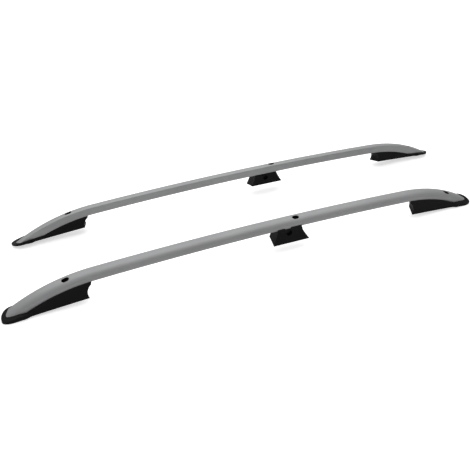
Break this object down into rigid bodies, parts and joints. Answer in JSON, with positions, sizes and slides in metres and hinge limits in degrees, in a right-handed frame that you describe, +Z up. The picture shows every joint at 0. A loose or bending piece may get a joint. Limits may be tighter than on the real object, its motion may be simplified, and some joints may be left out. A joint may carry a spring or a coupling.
{
  "type": "roof side rail pair",
  "caption": "Pair of mirror-image roof side rails: hollow silver tubes bent down at both ends, on black moulded feet with rubber pads and bolt holes.",
  "frame": {"origin": "centre of the bounding box, at the height of the lowest edges of the pads", "axes": "+X runs along the rails to the rear, +Y to the right-hand rail, +Z up; the front tips are at -X"},
  "size_m": [2.101, 0.504, 0.1335],
  "materials": {
    "anodised_aluminium": "satin silver anodised",
    "black_moulding": "fine-grained black moulding",
    "rubber_pad": "matt black rubber",
    "zinc_steel": "zinc-plated steel"
  },
  "bodies": {
    "root": {"left_rail": "anodised_aluminium", "left_front_foot": "black_moulding", "left_front_pad": "rubber_pad", "left_front_sleeve": "zinc_steel", "left_front_seat": "zinc_steel", "left_front_screws": "zinc_steel", "left_middle_foot": "black_moulding", "left_middle_pad": "rubber_pad", "left_middle_sleeve": "zinc_steel", "left_middle_seat": "zinc_steel", "left_middle_screws": "zinc_steel", "left_rear_foot": "black_moulding", "left_rear_pad": "rubber_pad", "left_rear_sleeve": "zinc_steel", "left_rear_seat": "zinc_steel", "left_rear_screws": "zinc_steel", "right_rail": "anodised_aluminium", "right_front_foot": "black_moulding", "right_front_pad": "rubber_pad", "right_front_sleeve": "zinc_steel", "right_front_seat": "zinc_steel", "right_front_screws": "zinc_steel", "right_middle_foot": "black_moulding", "right_middle_pad": "rubber_pad", "right_middle_sleeve": "zinc_steel", "right_middle_seat": "zinc_steel", "right_middle_screws": "zinc_steel", "right_rear_foot": "black_moulding", "right_rear_pad": "rubber_pad", "right_rear_sleeve": "zinc_steel", "right_rear_seat": "zinc_steel", "right_rear_screws": "zinc_steel"}
  },
  "joints": []
}
